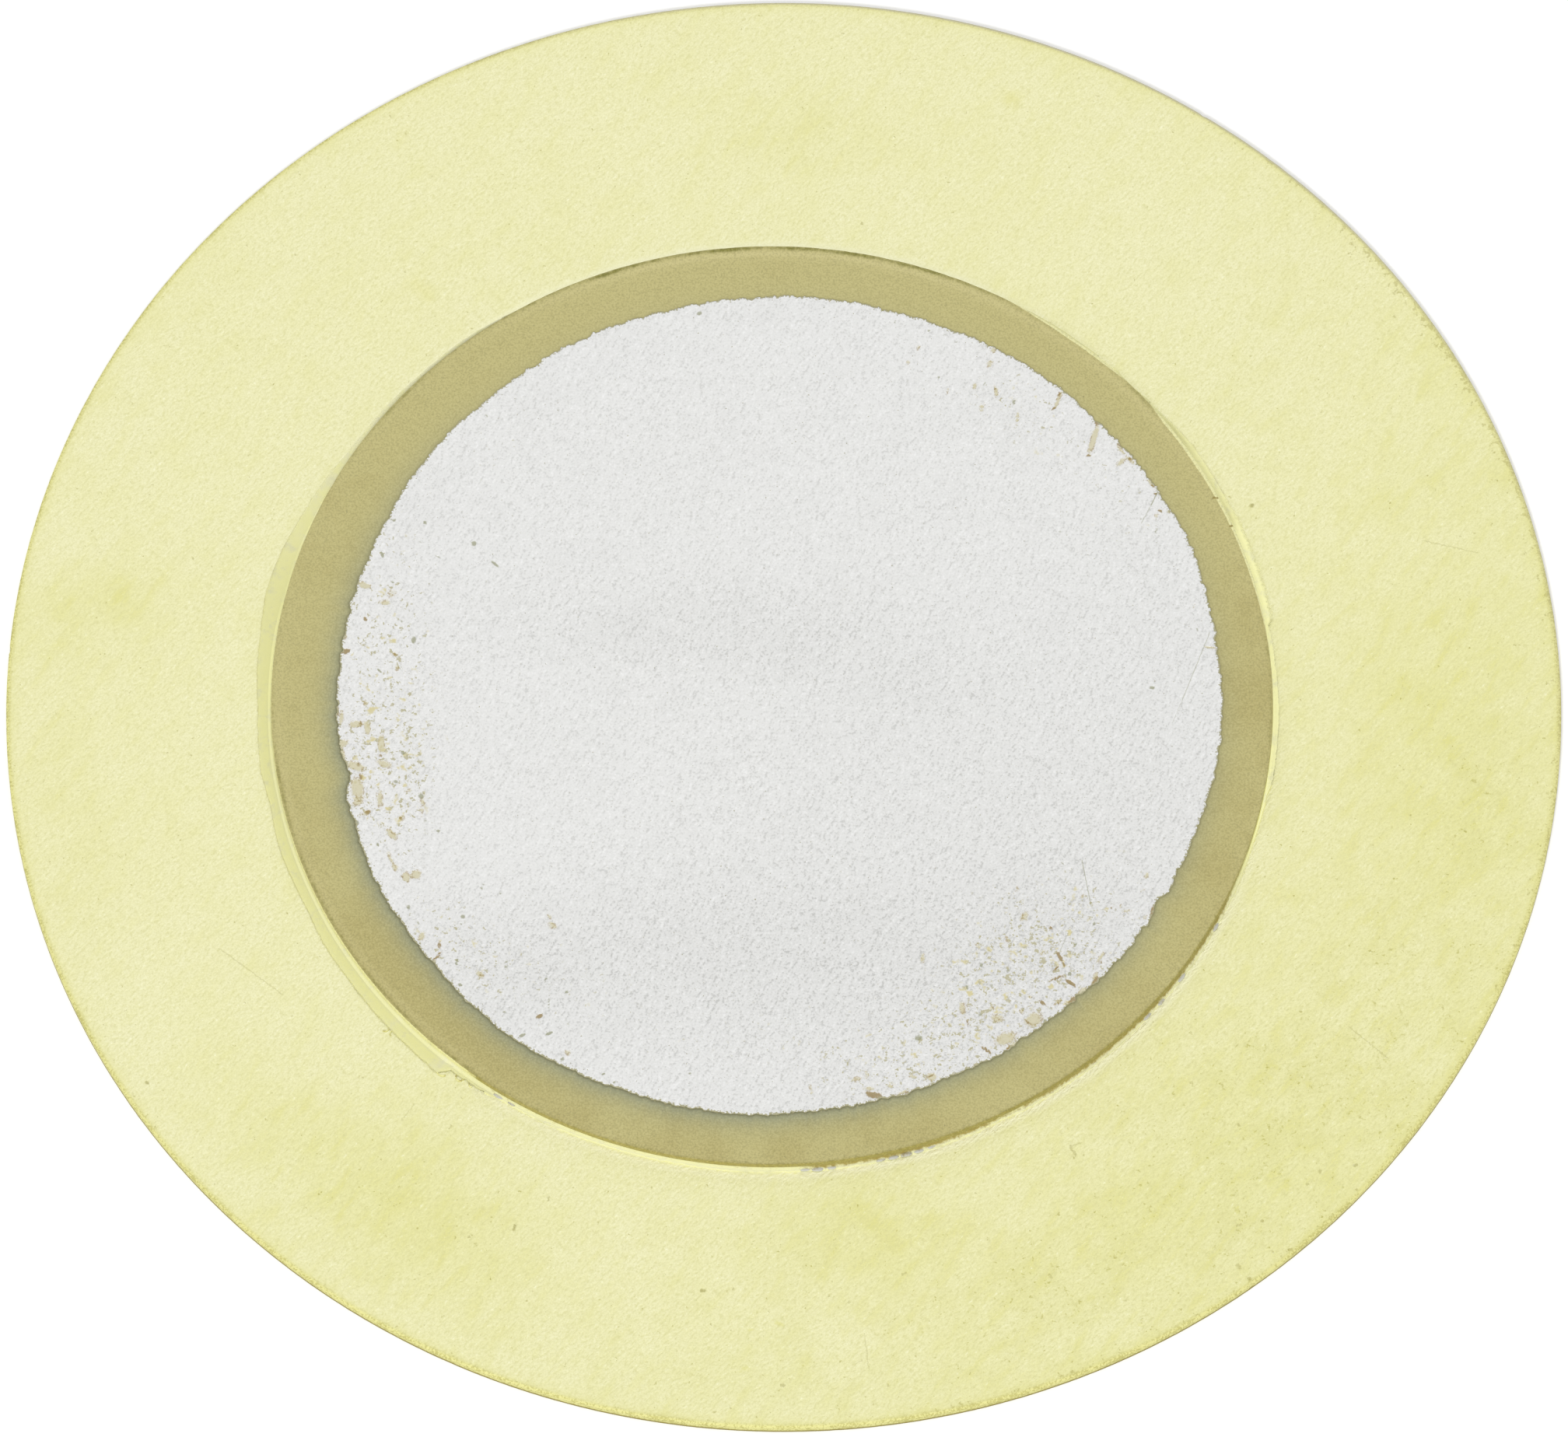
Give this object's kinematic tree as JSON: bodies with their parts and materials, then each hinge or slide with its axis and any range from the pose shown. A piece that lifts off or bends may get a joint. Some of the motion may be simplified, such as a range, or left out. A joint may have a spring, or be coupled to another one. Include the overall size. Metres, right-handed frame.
{
  "type": "piezo disc",
  "caption": "Thin piezo sounder disc: a silvered ceramic disc bonded slightly off centre on a larger round brass plate.",
  "frame": {"origin": "centre of the brass plate's underside", "axes": "+Z square to the disc, from the brass plate up to the silvered ceramic; +X to the right and +Y away from the picture's camera"},
  "size_m": [0.014, 0.014, 0.0002],
  "materials": {
    "brass": "satin rolled, lightly tarnished",
    "adhesive": "thin clear cured film",
    "ceramic": "unglazed, fired",
    "silver": "matt fired silver"
  },
  "bodies": {
    "root": {"brass_plate": "brass", "bond_layer": "adhesive", "lower_electrode": "silver", "ceramic_disc": "ceramic", "upper_electrode": "silver"}
  },
  "joints": []
}
